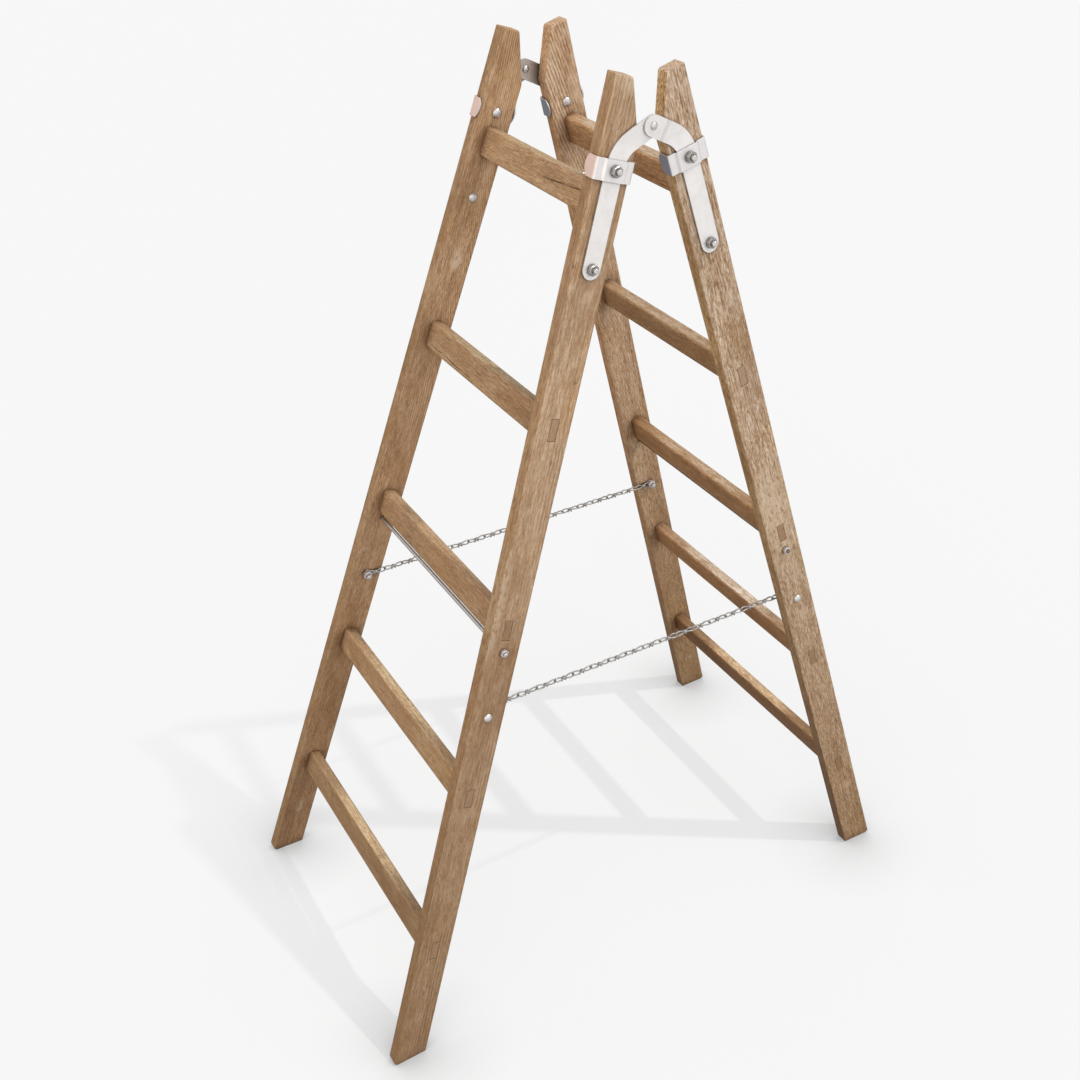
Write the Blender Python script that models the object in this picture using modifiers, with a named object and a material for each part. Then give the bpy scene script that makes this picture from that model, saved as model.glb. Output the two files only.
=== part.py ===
"""Double-sided wooden step ladder: two hinged halves, five rungs each, held open by two knotted chains.

Units are metres, +Z is up and the feet stand on Z = 0. X runs from one half to the other, Y along the
rungs. The origin lies on the floor under the middle of the hinge axis.

Each half is modelled in its own frame, which hangs from an empty on the hinge axis: x points outwards,
square to the stiles' inner edge, y runs along the hinge axis and z up along the stiles. The two halves
are the same shape, turned half a turn about Z, so one hinge leaf is on top at each end of the axis.
"""

import math

import bmesh
import bpy
from mathutils import Matrix, Vector

# ---- stance and fit ----
PIVOT_HEIGHT = 1.400        # hinge axis above the floor
LEAN = math.radians(17.20)  # each half from the vertical
SPLAY = math.radians(4.78)  # each stile outwards, towards its foot
PIVOT_HALF_WIDTH = 0.1537   # outer faces of the stiles from the middle, at the hinge axis
GAP = 0.0003                # between pieces that touch

# ---- stiles ----
STILE_DEPTH = 0.0546        # across the broad face
STILE_THICKNESS = 0.0209    # along the rungs
STILE_SETBACK = 0.0135      # inner edge from the hinge axis
STILE_TOP_RISE = 0.0498     # top end above the hinge axis
STILE_TOP_DEPTH = 0.0279    # what the taper leaves of the depth
TAPER_START = 0.0195        # below the hinge axis, where the inner edge starts to taper
TOP_EASE = 0.0025           # cut-off inner corner of the top end
FOOT_EASE = 0.0060          # cut-off outer corner of the foot
FOOT_EASE_RISE = 0.0045
STILE_ROUND = 0.0016        # worn edges

# ---- rungs ----
FIRST_RUNG = 0.1048         # below the hinge axis
UPPER_PITCH = 0.2990        # between the three upper rungs
LOWER_PITCH = 0.2795        # between the three lower rungs
RUNG_HEIGHT = 0.0424
RUNG_THICKNESS = 0.0192
RUNG_ROUND = 0.0035
TENON_HEIGHT = 0.0310
TENON_THICKNESS = 0.0120

# ---- hinges ----
LEAF_WIDTH = 0.0275
LEAF_THICKNESS = 0.0025
LEAF_OFFSET = 0.0405        # middle of the shank from the hinge axis
NECK_ANGLE = math.radians(47.0)
NECK_RADIUS = 0.0500
LEAF_BEND = 0.0300          # below this the leaf lies along the splayed stile
JOGGLE_START = 0.0165       # along the neck of the upper leaf
JOGGLE_LENGTH = 0.0080
UPPER_BOLT = 0.0620         # below the hinge axis
LOWER_BOLT = 0.1858
RIVET_RADIUS = 0.0040
RIVET_HEAD_RADIUS = 0.0053
RIVET_HEAD_HEIGHT = 0.0028

# ---- clamp bands ----
BAND_WIDTH = 0.0275
BAND_THICKNESS = 0.0020
BAND_PLAY = 0.0013          # between the band and the stile's inner edge
BAND_STEP = 0.0025          # length of the step up onto the leaf
TONGUE_LENGTH = 0.0205
TONGUE_RADIUS = 0.0188
FOLD_RADIUS = 0.0010

# ---- bolts, nuts and the tie rod under the third rung ----
BOLT_RADIUS = 0.0040
BOLT_HEAD_RADIUS = 0.0073
BOLT_HEAD_HEIGHT = 0.0040
BOLT_END = 0.0056           # past the nut
BOLT_CHAMFER = 0.0011
NUT_FLATS = 0.0135
NUT_HEIGHT = 0.0065
TIE_RUNG = 3
TIE_DROP = 0.0332           # tie rod below its rung
TIE_RADIUS = 0.0032
TIE_NUT_FLATS = 0.0113
TIE_NUT_HEIGHT = 0.0055
TIE_END = 0.0030

# ---- chains ----
CHAIN_BOLT = 0.8440         # below the hinge axis
LINK_PITCH = 0.0320         # the nearest whole number of links fills the span
LINK_HEIGHT = 0.0074        # across the wire's centre line
LINK_END = 0.0048           # the same at the blunt end of a loop
LINK_TWIST = math.radians(35.0)
LINK_SINK = 0.0008          # how far the links of one run sink into each other
WIRE_RADIUS = 0.0010
EYE_RADIUS = 0.0059         # centre line of the ring round the chain bolt
CHAIN_INSET = 0.0042        # chain line from the stile's inner face
KNOT_RADIUS = 0.0027
KNOT_LENGTH = 0.0060
KNOT_TAIL = 0.0062          # wire end below the chain line
WAIST_HEIGHT = 0.0024       # between the wires inside the knot

ROUND_STEPS = 12
NEAR, FAR = -1, 1


# ---- places worked out from the sizes above ----
SLOPE = math.tan(SPLAY)
STILE_INNER = STILE_SETBACK
STILE_OUTER = STILE_SETBACK + STILE_DEPTH
STILE_MIDDLE = (STILE_INNER + STILE_OUTER) / 2
RUNG_DROPS = [
    FIRST_RUNG,
    FIRST_RUNG + UPPER_PITCH,
    FIRST_RUNG + 2 * UPPER_PITCH,
    FIRST_RUNG + 2 * UPPER_PITCH + LOWER_PITCH,
    FIRST_RUNG + 2 * UPPER_PITCH + 2 * LOWER_PITCH,
]
TIE_ROD_DROP = RUNG_DROPS[TIE_RUNG - 1] + TIE_DROP
LEAF_LIFT = LEAF_THICKNESS + GAP
EYE_TILT = (EYE_RADIUS + WIRE_RADIUS) * SLOPE
EYE_INSET = GAP + EYE_TILT + WIRE_RADIUS


def outer_y(z):
    """Outer face of a stile from the middle, at height z of its half's frame."""
    return PIVOT_HALF_WIDTH - SLOPE * z


def inner_y(z):
    return outer_y(z) - STILE_THICKNESS


def floor_z(x):
    """Height in a half's frame at which a point at x stands on the floor."""
    return -(PIVOT_HEIGHT + x * math.sin(LEAN)) / math.cos(LEAN)


def arc(centre, radius, start, end, steps):
    """Points round centre, from angle start to angle end."""
    angles = [start + (end - start) * i / steps for i in range(steps + 1)]
    return [(centre[0] + radius * math.cos(a), centre[1] + radius * math.sin(a)) for a in angles]


# ---- scene helpers ----
def clear_scene():
    for item in list(bpy.data.objects):
        bpy.data.objects.remove(item, do_unlink=True)


def make_collection(name):
    collection = bpy.data.collections.new(name)
    bpy.context.scene.collection.children.link(collection)
    return collection


def make_material(name, colour, roughness, metallic):
    material = bpy.data.materials.new(name)
    material.use_nodes = True
    shader = material.node_tree.nodes["Principled BSDF"]
    shader.inputs["Base Color"].default_value = (*colour, 1.0)
    shader.inputs["Roughness"].default_value = roughness
    shader.inputs["Metallic"].default_value = metallic
    return material


def add_object(name, data, collection, parent=None, location=(0, 0, 0), turn_x=0.0):
    item = bpy.data.objects.new(name, data)
    item.parent = parent
    item.location = location
    item.rotation_euler = (turn_x, 0, 0)
    collection.objects.link(item)
    return item


def mesh_from(bm, name):
    """Closes the bmesh into a mesh whose faces all point outwards."""
    bmesh.ops.recalc_face_normals(bm, faces=bm.faces[:])
    mesh = bpy.data.meshes.new(name)
    bm.to_mesh(mesh)
    bm.free()
    return mesh


def boolean(item, other, operation="DIFFERENCE", own_overlaps=False):
    modifier = item.modifiers.new(other.name, "BOOLEAN")
    modifier.operation = operation
    modifier.solver = "EXACT"
    modifier.use_self = own_overlaps
    modifier.object = other


def finish(item, material):
    item.data.materials.append(material)
    item.data.shade_smooth()
    item.data.set_sharp_from_angle(angle=math.radians(35))
    return item


# ---- shapes ----
def prism(points, near, far):
    """A closed solid over an outline of (x, z) points, between y = near(z) and y = far(z)."""
    bm = bmesh.new()
    face = bm.faces.new([bm.verts.new((x, 0, z)) for x, z in points])
    extruded = bmesh.ops.extrude_face_region(bm, geom=[face])["geom"]
    moved = [v for v in extruded if isinstance(v, bmesh.types.BMVert)]
    for vert in bm.verts:
        vert.co.y = near(vert.co.z)
    for vert in moved:
        vert.co.y = far(vert.co.z)
    return bm


def rectangle(x, z, width, height):
    half_w, half_h = width / 2, height / 2
    return [(x - half_w, z - half_h), (x + half_w, z - half_h), (x + half_w, z + half_h), (x - half_w, z + half_h)]


def rounded_rectangle(x, z, width, height, radius, steps=3):
    points = []
    for i, (sx, sz) in enumerate([(1, 1), (-1, 1), (-1, -1), (1, -1)]):
        centre = (x + sx * (width / 2 - radius), z + sz * (height / 2 - radius))
        points += arc(centre, radius, i * math.pi / 2, (i + 1) * math.pi / 2, steps)
    return points


def add_cylinder(bm, radius, start, end, turn_x=0.0, origin=(0, 0, 0), steps=ROUND_STEPS):
    """A cylinder on the z axis from start to end, turned about x and moved to origin."""
    middle = Matrix.Translation((0, 0, (start + end) / 2))
    place = Matrix.Translation(origin) @ Matrix.Rotation(turn_x, 4, "X") @ middle
    bmesh.ops.create_cone(
        bm, cap_ends=True, segments=steps, radius1=radius, radius2=radius, depth=end - start, matrix=place
    )


def turned(name, profile, collection, parent, location, turn_x, steps=ROUND_STEPS):
    """A solid turned from (radius, height) points that run down its outer side."""
    mesh = bpy.data.meshes.new(name)
    edges = [(i, i + 1) for i in range(len(profile) - 1)]
    mesh.from_pydata([(r, 0, z) for r, z in profile], edges, [])
    item = add_object(name, mesh, collection, parent, location, turn_x)
    screw = item.modifiers.new("turn", "SCREW")
    screw.steps = screw.render_steps = steps
    screw.use_merge_vertices = True
    screw.merge_threshold = 0.00001
    return item


def dome(radius, height, base, steps=3):
    """Profile of a domed head on a flat at height base, from its top down to its rim."""
    sphere = (radius**2 + height**2) / (2 * height)
    reach = math.asin(radius / sphere)
    lift = base + height - sphere
    return [(sphere * math.sin(reach * i / steps), lift + sphere * math.cos(reach * i / steps)) for i in range(steps + 1)]


# ---- a place on the outer face of a stile ----
def face_turn(side):
    """Turn about x that points a fastener's z axis out of the stile's outer face."""
    return -side * (math.pi / 2 - SPLAY)


def face_point(side, x, drop):
    return (x, side * outer_y(-drop), -drop)


# ---- stiles ----
def stile_outline():
    top_x = STILE_OUTER - STILE_TOP_DEPTH
    heel_x = STILE_OUTER - FOOT_EASE
    return [
        (STILE_INNER, floor_z(STILE_INNER)),
        (heel_x, floor_z(heel_x)),
        (STILE_OUTER, floor_z(STILE_OUTER) + FOOT_EASE_RISE),
        (STILE_OUTER, STILE_TOP_RISE),
        (top_x + TOP_EASE, STILE_TOP_RISE),
        (top_x, STILE_TOP_RISE - TOP_EASE),
        (STILE_INNER, -TAPER_START),
    ]


def build_stile(half, side, cutters):
    bm = prism(stile_outline(), lambda z: side * inner_y(z), lambda z: side * outer_y(z))
    bmesh.ops.bevel(bm, geom=bm.edges[:], offset=STILE_ROUND, segments=2, profile=0.5, affect="EDGES")
    name = half.part_name("stile", side)
    item = add_object(name, mesh_from(bm, name), half.parts, half.frame)
    for cutter in cutters:
        boolean(item, cutter)
    return finish(item, half.wood)


# ---- rungs ----
def build_rung(half, number, drop):
    """A rung with a rounded body between the stiles and a through tenon at each end."""
    name = f"rung_{half.name}_{number}"
    tenon_outline = rectangle(STILE_MIDDLE, -drop, TENON_THICKNESS, TENON_HEIGHT)
    tenons = mesh_from(prism(tenon_outline, lambda z: -outer_y(z), outer_y), name + "_tenons")
    tenons = add_object(name + "_tenons", tenons, half.cutters, half.frame)
    outline = rounded_rectangle(STILE_MIDDLE, -drop, RUNG_THICKNESS, RUNG_HEIGHT, RUNG_ROUND)
    body = prism(outline, lambda z: GAP - inner_y(z), lambda z: inner_y(z) - GAP)
    item = add_object(name, mesh_from(body, name), half.parts, half.frame)
    boolean(item, tenons, "UNION")
    return finish(item, half.wood)


# ---- hinge leaves ----
def bend_centre():
    """Centre of the bend between a leaf's neck and its shank."""
    straight = (LEAF_OFFSET - NECK_RADIUS * (1 - math.cos(NECK_ANGLE))) / math.sin(NECK_ANGLE)
    drop = straight * math.cos(NECK_ANGLE) + NECK_RADIUS * math.sin(NECK_ANGLE)
    return (LEAF_OFFSET - NECK_RADIUS, -drop)


def leaf_outline():
    """Outline of a leaf: round eye on the hinge axis, slanting neck, bend, straight shank, round end."""
    half = LEAF_WIDTH / 2
    bend = bend_centre()
    points = arc((0, 0), half, NECK_ANGLE, NECK_ANGLE + math.pi, 12)
    points += arc(bend, NECK_RADIUS - half, NECK_ANGLE, 0, 5)
    points += arc((LEAF_OFFSET, -LOWER_BOLT), half, math.pi, 2 * math.pi, 10)
    points += arc(bend, NECK_RADIUS + half, 0, NECK_ANGLE, 6)
    return points


def along_neck(x, z):
    return x * math.sin(NECK_ANGLE) - z * math.cos(NECK_ANGLE)


def leaf_back(x, z, on_top):
    """The leaf's back face from the middle: level at the eye, then along the stile's face."""
    back = outer_y(min(z, -LEAF_BEND)) + GAP
    if on_top:
        left = 1 - (along_neck(x, z) - JOGGLE_START) / JOGGLE_LENGTH
        back += LEAF_LIFT * min(1, max(0, left))
    return back


def build_leaf(half, side, cutters):
    """A hinge leaf. The near one of each half's frame is on top at the eye and steps down to the wood."""
    on_top = side == NEAR
    bm = prism(leaf_outline(), lambda z: 0, lambda z: LEAF_THICKNESS)
    neck = Vector((math.sin(NECK_ANGLE), 0, -math.cos(NECK_ANGLE)))
    cuts = [((0, 0, -LEAF_BEND), (0, 0, 1))]
    if on_top:
        cuts += [(neck * JOGGLE_START, neck), (neck * (JOGGLE_START + JOGGLE_LENGTH), neck)]
    for place, normal in cuts:
        bmesh.ops.bisect_plane(bm, geom=bm.verts[:] + bm.edges[:] + bm.faces[:], plane_co=place, plane_no=normal)
    for vert in bm.verts:
        vert.co.y = side * (vert.co.y + leaf_back(vert.co.x, vert.co.z, on_top))
    name = half.part_name("hinge_leaf", side)
    item = add_object(name, mesh_from(bm, name), half.parts, half.frame)
    for cutter in cutters:
        boolean(item, cutter)
    return finish(item, half.plate)


def build_rivet(half):
    """The hinge pin, riveted into this half's upper leaf and free in the other half's lower leaf."""
    back = outer_y(-LEAF_BEND)
    front = back + GAP + LEAF_LIFT + LEAF_THICKNESS + GAP
    profile = dome(RIVET_HEAD_RADIUS, RIVET_HEAD_HEIGHT, front)
    profile += [(RIVET_RADIUS, front), (RIVET_RADIUS, back)]
    profile += [(r, back - h) for r, h in reversed(dome(RIVET_HEAD_RADIUS, RIVET_HEAD_HEIGHT, 0))]
    name = half.part_name("hinge_rivet", NEAR)
    item = turned(name, profile, half.parts, half.frame, (0, 0, 0), -NEAR * math.pi / 2)
    return finish(item, half.bolt_steel)


# ---- clamp bands ----
def band_path():
    """The band's inside from tongue to tongue: (x, distance out of the stile's outer face)."""
    low = GAP
    high = GAP + LEAF_LIFT
    inner = STILE_INNER - BAND_PLAY
    outer = STILE_OUTER + GAP
    edge_radius = NECK_RADIUS - LEAF_WIDTH / 2
    into_bend = max(0, BAND_WIDTH / 2 - UPPER_BOLT - bend_centre()[1])
    leaf_low = LEAF_OFFSET - NECK_RADIUS + math.sqrt(edge_radius**2 - into_bend**2) - GAP
    leaf_high = LEAF_OFFSET + LEAF_WIDTH / 2 + GAP
    path = [(inner, -TONGUE_LENGTH)]
    path += arc((inner + FOLD_RADIUS, low - FOLD_RADIUS), FOLD_RADIUS, math.pi, math.pi / 2, 2)
    path += [(leaf_low - BAND_STEP, low), (leaf_low, high), (leaf_high, high), (leaf_high + BAND_STEP, low)]
    path += arc((outer - FOLD_RADIUS, low - FOLD_RADIUS), FOLD_RADIUS, math.pi / 2, 0, 2)
    path += [(outer, -TONGUE_LENGTH)]
    return path


def thickened(path, thickness):
    """Closed outline of a sheet whose inside is the path and whose outside lies to its left."""
    outside = []
    for i, point in enumerate(path):
        before = Vector(path[max(i - 1, 0)])
        after = Vector(path[min(i + 1, len(path) - 1)])
        here = Vector(point)
        legs = [leg.normalized() for leg in (here - before, after - here) if leg.length > 0]
        normals = [Vector((-leg.y, leg.x)) for leg in legs]
        mean = (normals[0] + normals[-1]).normalized()
        outside.append(here + mean * (thickness / mean.dot(normals[0])))
    return [Vector(point) for point in path] + outside[::-1]


def build_band(half, side, cutter):
    """A steel band round the stile and over the leaf, with a round-ended tongue along each narrow edge."""
    name = half.part_name("clamp_band", side)
    bm = bmesh.new()
    outline = [bm.verts.new((p.x, p.y, -BAND_WIDTH / 2)) for p in thickened(band_path(), BAND_THICKNESS)]
    face = bm.faces.new(outline)
    extruded = bmesh.ops.extrude_face_region(bm, geom=[face])["geom"]
    bmesh.ops.translate(bm, verts=[v for v in extruded if isinstance(v, bmesh.types.BMVert)], vec=(0, 0, BAND_WIDTH))
    seat_on_face(bm, side, UPPER_BOLT)
    item = add_object(name, mesh_from(bm, name), half.parts, half.frame)
    boolean(item, tongue_trimmer(half, side, name), "INTERSECT")
    boolean(item, cutter)
    return finish(item, half.plate)


def tongue_trimmer(half, side, name):
    """A block whose rounded side gives the band's tongues their round ends."""
    margin = 2 * BAND_THICKNESS
    reach = math.asin(BAND_WIDTH / 2 / TONGUE_RADIUS)
    centre = (TONGUE_RADIUS - TONGUE_LENGTH, 0)
    tip = arc(centre, TONGUE_RADIUS, math.pi - reach, math.pi + reach, 8)
    past = BAND_WIDTH / 2 + margin
    front = LEAF_LIFT + BAND_THICKNESS + margin
    outline = tip + [(tip[-1][0], -past), (front, -past), (front, past), (tip[0][0], past)]
    bm = bmesh.new()
    face = bm.faces.new([bm.verts.new((STILE_INNER - BAND_PLAY - margin, y, z)) for y, z in outline])
    extruded = bmesh.ops.extrude_face_region(bm, geom=[face])["geom"]
    width = STILE_DEPTH + BAND_PLAY + 2 * margin
    bmesh.ops.translate(bm, verts=[v for v in extruded if isinstance(v, bmesh.types.BMVert)], vec=(width, 0, 0))
    seat_on_face(bm, side, UPPER_BOLT)
    return add_object(name + "_trimmer", mesh_from(bm, name + "_trimmer"), half.cutters, half.frame)


def seat_on_face(bm, side, drop):
    """Moves a solid drawn flat at y = 0, z = 0 onto the splayed outer face, drop below the hinge axis."""
    for vert in bm.verts:
        vert.co.z -= drop
        vert.co.y = side * (vert.co.y + outer_y(vert.co.z))


# ---- bolts, nuts and the tie rod ----
def bolt_profile(grip_start, grip_end, length):
    """A domed head on grip_start's side and a shank that ends length past grip_end."""
    tip = grip_end + length
    profile = [(0, tip), (BOLT_RADIUS - BOLT_CHAMFER, tip), (BOLT_RADIUS, tip - BOLT_CHAMFER)]
    profile += [(BOLT_RADIUS, grip_start)]
    profile += [(r, grip_start - h) for r, h in reversed(dome(BOLT_HEAD_RADIUS, BOLT_HEAD_HEIGHT, 0))]
    return profile


def build_nut(name, half, place, turn_x, flats, height, seat, cutter):
    """A hexagon nut with a chamfered outer end, seat out along its own z axis."""
    bm = bmesh.new()
    add_cylinder(bm, flats / math.sqrt(3), seat, seat + height, steps=6)
    top = max(vert.co.z for vert in bm.verts)
    rim = [edge for edge in bm.edges if all(top - vert.co.z < GAP for vert in edge.verts)]
    bmesh.ops.bevel(bm, geom=rim, offset=flats / 14, segments=1, affect="EDGES")
    item = add_object(name, mesh_from(bm, name), half.parts, half.frame, place, turn_x)
    boolean(item, cutter)
    return finish(item, half.bolt_steel)


def build_hinge_fastening(half, side, label, drop, stack, cutter):
    """A carriage bolt from inside the ladder through stile and hinge, with its nut outside."""
    place = face_point(side, LEAF_OFFSET, drop)
    turn = face_turn(side)
    inside = -STILE_THICKNESS * math.cos(SPLAY) - GAP
    seat = stack + GAP
    name = half.part_name("hinge_bolt", side, label)
    profile = bolt_profile(inside, seat + NUT_HEIGHT, BOLT_END)
    finish(turned(name, profile, half.parts, half.frame, place, turn), half.bolt_steel)
    build_nut(half.part_name("hinge_nut", side, label), half, place, turn, NUT_FLATS, NUT_HEIGHT, seat, cutter)


def build_chain_fastening(half, side, cutter):
    """A carriage bolt from outside, with the chain's eye and a nut on the inner face."""
    turn = face_turn(side) + math.pi
    place = face_point(side, LEAF_OFFSET, CHAIN_BOLT)
    seat = STILE_THICKNESS * math.cos(SPLAY) + 2 * EYE_INSET
    name = half.part_name("chain_bolt", side)
    profile = bolt_profile(-GAP, seat + NUT_HEIGHT, BOLT_END)
    finish(turned(name, profile, half.parts, half.frame, place, turn), half.bolt_steel)
    build_nut(half.part_name("chain_nut", side), half, place, turn, NUT_FLATS, NUT_HEIGHT, seat, cutter)


def build_tie_rod(half, cutter):
    """The steel rod that holds the stiles together under the third rung, with a nut at each end."""
    seat = outer_y(-TIE_ROD_DROP) + GAP + TIE_NUT_FLATS / math.sqrt(3) * SLOPE
    end = seat + TIE_NUT_HEIGHT + TIE_END
    chamfer = TIE_RADIUS / 3
    profile = [(0, end), (TIE_RADIUS - chamfer, end), (TIE_RADIUS, end - chamfer)]
    profile += [(r, -z) for r, z in reversed(profile)]
    place = (LEAF_OFFSET, 0, -TIE_ROD_DROP)
    rod = turned(f"tie_rod_{half.name}", profile, half.parts, half.frame, place, -math.pi / 2)
    finish(rod, half.bolt_steel)
    for side in (NEAR, FAR):
        name = half.part_name("tie_nut", side)
        turn = -side * math.pi / 2
        build_nut(name, half, place, turn, TIE_NUT_FLATS, TIE_NUT_HEIGHT, seat, cutter)


# ---- chains ----
def eye_place(side):
    """Centre of a chain's end ring: on the chain bolt's axis, against the stile's inner face."""
    depth = STILE_THICKNESS + EYE_INSET
    return (LEAF_OFFSET, side * (outer_y(-CHAIN_BOLT) - depth), -CHAIN_BOLT - depth * SLOPE)


def chain_span(side):
    """Level distance from a chain's end ring to the middle of the ladder."""
    x, _, z = eye_place(side)
    return x * math.cos(LEAN) - z * math.sin(LEAN)


def link_loop(reach, twist, line_y):
    """One loop of a link: (distance past the knot, y, z) of its wire, from waist to waist."""
    rise = [
        (KNOT_LENGTH / 3, WAIST_HEIGHT / 2),
        ((reach + KNOT_LENGTH / 3) / 2, LINK_HEIGHT / 2),
        (reach, LINK_END / 2),
    ]
    loop = rise + [(x, -h) for x, h in reversed(rise)]
    return [(x, line_y + h * math.sin(twist), h * math.cos(twist)) for x, h in loop]


def eye_loop(reach, line_y):
    """The first link's loop round the bolt: a ring centred at reach, open towards the knot."""
    ring = arc((reach, 0), EYE_RADIUS, -math.pi * 7 / 8, math.pi * 7 / 8, 7)
    loop = [(KNOT_LENGTH / 3, line_y, -WAIST_HEIGHT / 2)]
    loop += [(x, 0, z) for x, z in ring]
    return loop + [(KNOT_LENGTH / 3, line_y, WAIST_HEIGHT / 2)]


def wire_mesh(name, loops):
    """Closed round wires along closed point loops, as one mesh."""
    curve = bpy.data.curves.new(name, "CURVE")
    curve.dimensions = "3D"
    curve.bevel_depth = WIRE_RADIUS
    curve.bevel_resolution = 0
    for loop in loops:
        spline = curve.splines.new("POLY")
        spline.points.add(len(loop) - 1)
        spline.use_cyclic_u = True
        for point, place in zip(spline.points, loop):
            point.co = (*place, 1)
    return curve_to_mesh(name, curve)


def curve_to_mesh(name, curve):
    guide = bpy.data.objects.new(name, curve)
    bpy.context.scene.collection.objects.link(guide)
    bpy.context.view_layer.update()
    mesh = bpy.data.meshes.new_from_object(guide.evaluated_get(bpy.context.evaluated_depsgraph_get()))
    bpy.data.objects.remove(guide, do_unlink=True)
    bm = bmesh.new()
    bm.from_mesh(mesh)
    bmesh.ops.remove_doubles(bm, verts=bm.verts[:], dist=0.00001)
    bmesh.ops.recalc_face_normals(bm, faces=bm.faces[:])
    bm.to_mesh(mesh)
    bm.free()
    return mesh


def build_chain_run(half, side):
    """Half of a knotted-wire chain, from its ring on the bolt to the middle of the ladder.

    Each link is one wire: two loops in different planes, tied in a knot between them.
    """
    span = chain_span(side)
    count = max(2, round(span / LINK_PITCH))
    pitch = span / count
    line_y = side * (EYE_INSET - CHAIN_INSET)
    reach = pitch / 2 + WIRE_RADIUS - LINK_SINK / 2
    last_reach = pitch / 2 + WIRE_RADIUS + GAP / 2
    links = []
    knots = bmesh.new()
    tails = bmesh.new()
    for i in range(count):
        knot = -(i + 0.5) * pitch
        front = link_loop(last_reach if i == count - 1 else reach, LINK_TWIST, line_y)
        if i == 0:
            back = eye_loop(pitch / 2, line_y)
        else:
            back = link_loop(reach, LINK_TWIST - math.pi / 2, line_y)[::-1]
        links.append([(knot - x, y, z) for x, y, z in front] + [(knot + x, y, z) for x, y, z in back])
        place = Matrix.Translation((knot, line_y, 0))
        along = place @ Matrix.Rotation(math.pi / 2, 4, "Y")
        bmesh.ops.create_cone(
            knots, cap_ends=True, segments=6, radius1=KNOT_RADIUS, radius2=KNOT_RADIUS, depth=KNOT_LENGTH, matrix=along
        )
        down = place @ Matrix.Translation((KNOT_LENGTH / 4, 0, -KNOT_TAIL / 2))
        bmesh.ops.create_cone(
            tails, cap_ends=True, segments=4, radius1=WIRE_RADIUS, radius2=WIRE_RADIUS, depth=KNOT_TAIL, matrix=down
        )
    name = half.part_name("chain", side)
    item = add_object(name, wire_mesh(name, links[::2]), half.parts, half.frame, eye_place(side))
    item.rotation_euler = (0, LEAN, 0)
    others = wire_mesh(name + "_other_links", links[1::2])
    for label, mesh in (("other_links", others), ("knots", mesh_from(knots, "knots")), ("tails", mesh_from(tails, "tails"))):
        joined = add_object(f"{name}_{label}", mesh, half.cutters, half.frame, eye_place(side))
        joined.rotation_euler = (0, LEAN, 0)
        boolean(item, joined, "UNION")
    return finish(item, half.bolt_steel)


# ---- cutters ----
def drill(half, name, radius, start, end, place, turn_x):
    """A straight hole with clearance round a bolt, through everything that it is given to."""
    bm = bmesh.new()
    add_cylinder(bm, radius + GAP, start, end, steps=ROUND_STEPS)
    return add_object(name, mesh_from(bm, name), half.cutters, half.frame, place, turn_x)


def face_drill(half, label, side, drop):
    """A bolt hole square to the splayed outer face."""
    reach = STILE_THICKNESS + 4 * NUT_HEIGHT
    name = half.part_name(f"{label}_hole", side)
    return drill(half, name, BOLT_RADIUS, -reach, reach, face_point(side, LEAF_OFFSET, drop), face_turn(side))


def mortise(half, number, drop):
    """The slot through both stiles for a rung's tenons."""
    name = f"mortise_{half.name}_{number}"
    outline = rectangle(STILE_MIDDLE, -drop, TENON_THICKNESS + 2 * GAP, TENON_HEIGHT + 2 * GAP)
    reach = outer_y(-drop) + STILE_THICKNESS
    return add_object(name, mesh_from(prism(outline, lambda z: -reach, lambda z: reach), name), half.cutters, half.frame)


# ---- assembly ----
class Half:
    """One leaning half of the ladder: its frame, its collections and its materials."""

    def __init__(self, name, turn, parts, cutters, materials):
        self.name = name
        self.parts = parts
        self.cutters = cutters
        self.wood, self.plate, self.bolt_steel = materials
        self.sides = {NEAR: "front", FAR: "back"} if name == "right" else {NEAR: "back", FAR: "front"}
        self.frame = bpy.data.objects.new(f"{name}_half_frame", None)
        self.frame.location = (0, 0, PIVOT_HEIGHT)
        self.frame.rotation_euler = (0, -LEAN, turn)
        parts.objects.link(self.frame)

    def part_name(self, kind, side, label=None):
        words = [kind, label, self.name, self.sides[side]]
        return "_".join(word for word in words if word)


def build_half(half):
    mortises = [mortise(half, i + 1, drop) for i, drop in enumerate(RUNG_DROPS)]
    rod_reach = outer_y(-TIE_ROD_DROP) + STILE_THICKNESS
    rod_name = f"tie_rod_hole_{half.name}"
    rod_hole = drill(half, rod_name, TIE_RADIUS, -rod_reach, rod_reach, (LEAF_OFFSET, 0, -TIE_ROD_DROP), -math.pi / 2)
    pin_reach = outer_y(-LEAF_BEND) + LEAF_LIFT + 3 * LEAF_THICKNESS
    pin_hole = drill(half, f"hinge_pin_hole_{half.name}", RIVET_RADIUS, -pin_reach, pin_reach, (0, 0, 0), -math.pi / 2)
    for i, drop in enumerate(RUNG_DROPS):
        build_rung(half, i + 1, drop)
    for side in (NEAR, FAR):
        upper = face_drill(half, "upper_bolt", side, UPPER_BOLT)
        lower = face_drill(half, "lower_bolt", side, LOWER_BOLT)
        chain = face_drill(half, "chain_bolt", side, CHAIN_BOLT)
        build_stile(half, side, mortises + [upper, lower, chain, rod_hole])
        build_leaf(half, side, [upper, lower, pin_hole])
        build_band(half, side, upper)
        over_band = LEAF_LIFT + GAP + BAND_THICKNESS
        build_hinge_fastening(half, side, "upper", UPPER_BOLT, over_band, upper)
        build_hinge_fastening(half, side, "lower", LOWER_BOLT, GAP + LEAF_THICKNESS, lower)
        build_chain_fastening(half, side, chain)
        build_chain_run(half, side)
    build_rivet(half)
    build_tie_rod(half, rod_hole)
    for cutter in half.cutters.objects:
        cutter.hide_render = True
        cutter.display_type = "WIRE"


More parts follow.
